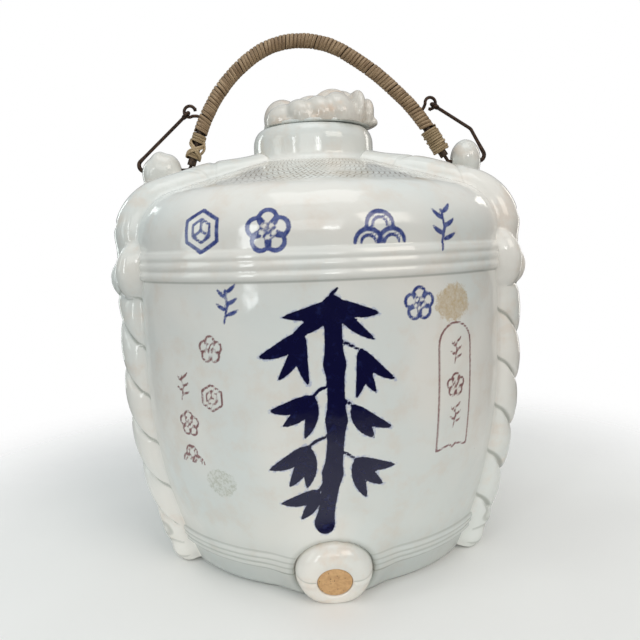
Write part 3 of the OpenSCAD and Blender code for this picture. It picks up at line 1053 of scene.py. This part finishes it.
def lid_plate(material):
    """The lid's thin plate with its rounded edge and the ring that centres it."""
    outline = [(0, LID_BASE), (RING_R[0], LID_BASE)]
    ring_z = LID_BASE - RING_H + 1
    outline += [(RING_R[0], ring_z)] + arc(RING_R[0] + 1, ring_z, 1, 180, 270, 3)
    outline += arc(RING_R[1] - 1, ring_z, 1, 270, 360, 3) + [(RING_R[1], LID_BASE)]
    outline += arc(LID_RIM - 1.2, LID_BASE + 1.2, 1.2, -90, 75, 6)
    outline += [(LID_RIM - 3, LID_BASE + 2.6), (30, LID_TOP), (0, LID_TOP + 0.6)]
    bm = turned(outline, 160)
    bmesh.ops.translate(bm, vec=(LID_SHIFT, 0, 0), verts=bm.verts)
    return make_piece("lid_plate", bm, material, "lid", "porcelain", "lid_disc")


def lid_bow(material):
    """The knotted rope on the lid: a big loop at the left, three twisted strands across the
    front, and two wraps at the right. Places are from the middle of the lid's top."""
    strands = [
        ((-23.5, 0, 2.5), (13.2, 21, 13.6), (0, -4, 0)),
        ((-22, -15, -1), (13, 14, 11.0), (0, -8, 24)),
        ((-20, 15, 0), (14, 15, 12), (0, 0, -20)),
        ((-6, 6, 5), (14, 12, 11.0), (0, -8, 0)),
        ((6, 5, 8), (13, 12, 12.0), (0, -12, 0)),
        ((18, 2, 8.0), (11, 15, 13.8), (0, 0, 0)),
        ((-10.5, -21.0, 0.0), (10.6, 16.0, 12.6), (0, -38, 10)),
        ((3.0, -22.0, 0.8), (10.8, 16.5, 13.8), (0, -36, 2)),
        ((16.0, -20.0, 1.8), (10.8, 17.0, 15.6), (0, -30, -8)),
        ((-6, -8, 7.0), (13.0, 12, 9.5), (0, -20, 0)),
        ((9, -7, 10.5), (13.0, 12, 10.5), (0, -20, 0)),
        ((-10, 22, 1), (12, 13, 12), (0, 14, 0)),
        ((6, 24, 2), (12, 13, 13), (0, 10, 0)),
        ((20, 19, 2.5), (11, 14, 12), (0, 0, 0)),
        ((26.0, -6, 4.5), (5.8, 23, 15.4), (0, 4, 8)),
        ((32.4, -3, 1.5), (5.4, 20, 13.4), (0, 8, 8)),
        ((0, 0, -2.6), (37.2, 37.2, 4.2), (0, 0, 0)),
        ((35.5, -4, -3.4), (4.8, 17, 4.6), (0, 10, 10))]
    origin = Vector((LID_SHIFT, 0, LID_TOP))
    bm = melted([(origin + Vector(m), size, turn) for m, size, turn in strands], 0.75, 10)
    cut_below(bm, LID_BASE + 0.5)
    piece = make_piece("lid_bow", bm, material, "lid", "porcelain", "lid_knot")
    # Painted shade in the bow's hollows
    store(piece, "crease", hollow_depth(piece.data, 10))
    return piece


def hollow_depth(mesh, rounds):
    """How hollow each point is: its distance below the smoothed surface, from 0 to 1."""
    bm = bmesh.new()
    bm.from_mesh(mesh)
    bm.verts.ensure_lookup_table()
    before = [v.co.copy() for v in bm.verts]
    normals = [v.normal.copy() for v in bm.verts]
    relax(bm, rounds)
    depth = [max(0.0, (v.co - b).dot(n)) / (0.35 * MM) for v, b, n in zip(bm.verts, before, normals)]
    bm.free()
    return [min(1.0, d) for d in depth]


# ---------------------------------------------------------------- the handle

HANDLE = Path(rounded(ARCH, ARCH_BEND))


def handle():
    """The cane core, its rattan wrapping, the two lashings, the eyes and the hangers."""
    smoked, iron = dark_cane(), rusty_wire()
    # The last colour of each rattan is the painted shade at a strip's edges
    wrapping = split_cane("split_rattan", rgb("B59C7B"), rgb("7C6348"), rgb("57412C"))
    lashing = split_cane("old_rattan", rgb("BCA683"), rgb("86704F"), rgb("4A3826"))
    core_canes(smoked)
    rng = random.Random(11)
    wave = [rng.uniform(-1, 1) for _ in range(400)]

    def wrap_radius(s, angle):
        k = angle / TAU * 2.7
        i = int(k) % 398
        rough = wave[i] + (wave[i + 1] - wave[i]) * (k - int(k))
        return WRAP_R - 0.75 + 0.12 * rough
    start, end, pitch = LASH_TO + 1.5, HANDLE.total - LASH_TO - 4.6, 5.2
    strips = [wound_strip(HANDLE, start + lag, end + lag, pitch, wrap_radius, 1.27, 0.62, drift=0.3)
              for lag in (0.0, pitch / 2)]
    make_piece("rattan_coil", joined(strips), wrapping, "bail", "rattan", "rattan_wrap")
    left_lashing(lashing)
    right_lashing(lashing)
    eyes_and_hangers(iron)


def core_canes(material):
    """Three thin canes side by side from foot to foot; they show below the lashings."""
    canes = []
    for k in range(3):
        angle = TAU * k / 3 + 0.5

        def place(a, b, angle=angle):
            middle, ahead, side, up = HANDLE.at(a * HANDLE.total)
            offset = (side * math.cos(angle) + up * math.sin(angle)) * 1.65
            return middle + offset + (side * math.cos(TAU * b) + up * math.sin(TAU * b)) * 1.55
        canes.append(wound_tube(150, 10, place))
    return make_piece("core_canes", joined(canes), material, "bail", "cane", "handle_core")


def left_lashing(material):
    """A band of turns at the end of the wrapping, and two crossed strands with a loop at the side."""
    parts = [wound_strip(HANDLE, LASH_TO - 4.2, LASH_TO + 1.6, 1.9, lambda s, a: 4.4, 0.95, 0.6, 16),
             wound_strip(HANDLE, LASH_FROM + 0.8, LASH_FROM + 4.2, 1.7, lambda s, a: 4.1, 0.85, 0.6, 16)]
    for turn in (1, -1):
        corners = []
        for i in range(13):
            u = i / 12
            angle = math.pi * (0.5 + turn * (u * 1.0 - 0.5)) + 0.1
            swell = 4.6 + 0.9 * math.sin(math.pi * u)
            s = LASH_FROM + 1.5 + (LASH_TO - LASH_FROM - 5.0) * u
            middle, ahead, side, up = HANDLE.at(s)
            corners.append(middle + side * math.cos(angle) * swell - up * math.sin(angle) * swell)
        for shift in (-0.75, 0.75):
            line_up = [c + HANDLE.at(LASH_FROM + 8)[1] * shift for c in corners]
            parts.append(rod(Path(smooth_line(line_up)), 0.85, 8))
    bow = []
    for i in range(9):
        a = math.pi * i / 8
        middle, ahead, side, up = HANDLE.at(LASH_FROM + 4 + 10 * i / 8)
        bow.append(middle + side * -(3.6 + 2.3 * math.sin(a)) - up * 1.5)
    parts.append(rod(Path(smooth_line(bow)), 0.95, 8))
    return make_piece("lashing_left", joined(parts), material, "bail", "rattan_lashing", "binding_left")


def right_lashing(material):
    """Four thick rolls of wound strip, one below the other."""
    total, rolls = HANDLE.total, 4

    def swell(s, angle):
        part = (total - LASH_FROM - s) / (LASH_TO - LASH_FROM) * rolls
        return 4.5 + 1.2 * abs(math.sin(math.pi * part)) ** 0.6
    strip = wound_strip(HANDLE, total - LASH_TO - 2.0, total - LASH_FROM - 0.4, 1.75, swell, 0.85, 0.55, 16)
    return make_piece("lashing_right", strip, material, "bail", "rattan_lashing", "binding_right")


def eyes_and_hangers(material):
    """Each side's open wire eye with its shank, and the hanger from the eye through the ear."""
    total = HANDLE.total
    feet = (HANDLE.at(0)[0], HANDLE.at(total)[0])
    downs = (HANDLE.at(3)[0] - HANDLE.at(0)[0], HANDLE.at(total - 3)[0] - HANDLE.at(total)[0])
    for name, mid, corners, foot, rise in (("left", EYE_MID[0], HANG_LEFT, feet[0], downs[0]),
                                           ("right", EYE_MID[1], HANG_RIGHT, feet[1], downs[1])):
        middle = Vector((mid[0], 0, mid[1]))
        near = min((HANDLE.point(s) for s in steps(0, total, 1.0)), key=lambda p: (p - middle).length)
        inward = (near - middle).normalized()
        lap = inward.cross(Vector((0, 1, 0)))
        ring = []
        for i in range(27):
            a = math.radians(-150 + 300 * i / 26)
            ring.append(middle - inward * EYE_RING * math.cos(a) + lap * EYE_RING * 1.05 * math.sin(a)
                        + Vector((0, 0.9 * math.sin(a / 2), 0)))
        shank = near - inward * (WRAP_R - 1.2)
        curl = ring[-1] + lap * 2.0 - inward * 1.2
        path = Path([shank, (shank + ring[0]) / 2 + lap * 0.4] + ring + [curl])
        make_piece("wire_eye_" + name, rod(path, WIRE_R * 0.92, 12, 0.5), material, "bail", "iron_wire",
                   "eye_" + name)
        first = Vector((corners[0][0], 0, corners[0][1]))
        toward = (first - middle).normalized()
        link = middle + toward * EYE_RING
        flat = Vector((0, 1, 0))
        loop = []
        for i in range(25):
            a = math.radians(20 + 330 * i / 24)
            loop.append(link + toward * LINK_RING * math.cos(a) + flat * LINK_RING * math.sin(a))
        rise = rise.normalized()
        on_hinge = foot - rise * ((foot.z - HINGE_Z) / rise.z)
        top, pin, end = ((p.x, p.z) for p in (link + toward * LINK_RING, on_hinge, foot + rise * 8))
        bent = rounded([top] + corners + [pin, end], [0] + [4] * len(corners) + [3, 0], 0.6)
        line_up = Path(loop + bent)

        def thick(s, line_up=line_up, size=LINK_RING):
            start = TAU * size
            flat_part = smoothstep(start + 36, start + 44, s) * (1 - smoothstep(start + 52, start + 60, s))
            return WIRE_R * (1 + 0.22 * flat_part)
        make_piece("wire_hanger_" + name, rod(line_up, thick, 12, 0.6), material, "bail", "iron_wire",
                   "hanger_" + name)


# ---------------------------------------------------------------- camera, light and floor


def camera():
    """The eye is to the left of the front's middle line, a little above the neck's height."""
    yaw, pitch, roll = math.radians(-1.75), 0.1251, -0.0354
    turn = Matrix.Rotation(yaw, 3, "Z")
    ahead = Vector((0, math.cos(pitch), -math.sin(pitch)))
    above = Vector((0, math.sin(pitch), math.cos(pitch)))
    right = Vector((1, 0, 0)) * math.cos(roll) + above * math.sin(roll)
    up = above * math.cos(roll) - Vector((1, 0, 0)) * math.sin(roll)
    data = bpy.data.cameras.new("camera")
    data.lens, data.sensor_width = 35.1, 36
    data.clip_start = 0.01
    eye = linked("camera", data)
    axes = Matrix((turn @ right, turn @ up, -(turn @ ahead))).transposed().to_4x4()
    eye.matrix_world = Matrix.Translation((turn @ Vector((0.4, -450, 205.15))) * MM) @ axes
    bpy.context.scene.camera = eye


def area_light(name, azimuth, height, distance, size, power, colour=(1, 1, 1)):
    """A soft light that faces the jug; azimuth is from the front towards the right, in degrees."""
    data = bpy.data.lights.new(name, "AREA")
    data.shape, data.size, data.size_y = "RECTANGLE", size[0], size[1]
    data.energy, data.color = power, colour
    a = math.radians(azimuth)
    at = Vector((distance * math.sin(a), -distance * math.cos(a), height))
    facing = (Vector((0, 0, 0.15)) - at).to_track_quat("-Z", "Y").to_matrix().to_4x4()
    linked(name, data).matrix_world = Matrix.Translation(at) @ facing


def room():
    """Soft daylight from above for the jug, and a plain white backdrop for the camera."""
    world = bpy.data.worlds.new("room")
    bpy.context.scene.world = world
    world.use_nodes = True
    tree = world.node_tree
    f = Nodes(tree)
    sky = tree.nodes["Background"]
    height = f.split(f.node("ShaderNodeTexCoord", output="Generated"))[2]
    glow = f.mix(height.ramp(-0.15, 0.2), (0.06, 0.06, 0.06, 1), (0.20, 0.205, 0.21, 1))
    glow = f.mix(height.ramp(0.15, 0.9), glow, (0.56, 0.59, 0.61, 1))
    f.set(sky.inputs["Color"], glow)
    backdrop = f.node("ShaderNodeBackground", None, {"Color": (1, 1, 1, 1)}, "Background")
    seen = f.node("ShaderNodeLightPath", output="Is Camera Ray")
    both = f.node("ShaderNodeMixShader", None, {0: seen, 1: Value(f, sky.outputs[0]), 2: backdrop})
    tree.links.new(both.socket, tree.nodes["World Output"].inputs["Surface"])


def studio():
    """The view's colours, the room, its lights and the floor."""
    bpy.context.scene.view_settings.view_transform = "Standard"
    room()
    area_light("window_left", -38, 0.42, 1.6, (0.20, 0.8), 3.4, (0.95, 0.99, 1.0))
    area_light("window_far_left", -72, 0.6, 1.7, (0.4, 1.0), 2.6, (0.90, 1.0, 0.98))
    area_light("edge_left", -128, 0.4, 1.5, (0.22, 1.2), 3.4, (0.93, 1.0, 0.98))
    area_light("edge_right", 126, 0.4, 1.5, (0.25, 1.1), 2.8, (1.0, 0.97, 0.9))
    area_light("panes", 7, 0.57, 1.6, (0.2, 0.2), 1.1)
    area_light("key_right", 38, 1.15, 1.9, (1.1, 0.8), 12.0, (1.0, 0.92, 0.83))
    area_light("front", -6, 1.0, 2.2, (1.6, 0.9), 8.0, (1.0, 0.99, 0.975))
    area_light("top", 0, 1.9, 0.35, (1.0, 1.0), 5.5)
    bm = bmesh.new()
    bmesh.ops.create_circle(bm, cap_ends=True, segments=64, radius=1.2)
    floor = linked("floor", mesh_from(bm, "floor"))
    f = Finish("pale_floor")
    here = f.place()
    x, y, z = f.split(here)
    # The floor fades into the white backdrop before its edge
    fade = (x * x + y * y).math("SQRT").ramp(460.0, 190.0)
    shade = f.noise(here, 0.004, 2.0).ramp(0.3, 0.7)
    pale = f.mix(shade, rgb("F4F4F2"), rgb("EEEEEC"))
    floor.data.materials.append(f.finish(Base_Color=pale, Roughness=0.7, Alpha=fade))


# ---------------------------------------------------------------- the jug

camera()
studio()
jar_wall()
tap_boss()
cork_plug()
rope_glaze = plain_glaze("rope_porcelain", 0.45)
for rope_face, rope_hand, rope_azimuth, rope_side, rope_phase in (
        ("front", "left", -ROPE_ANGLE, 1, 23.0), ("front", "right", ROPE_ANGLE - 1, -1, 7.0),
        ("back", "left", ROPE_ANGLE - 180, -1, 7.0), ("back", "right", 180 - ROPE_ANGLE, 1, 23.0)):
    rope(rope_face, rope_hand, rope_azimuth, rope_side, rope_phase, rope_glaze)
ears(plain_glaze("ear_porcelain", 0.5))
lid_plate(plain_glaze("lid_porcelain", 0.35))
lid_bow(plain_glaze("bow_porcelain", 0.7))
handle()
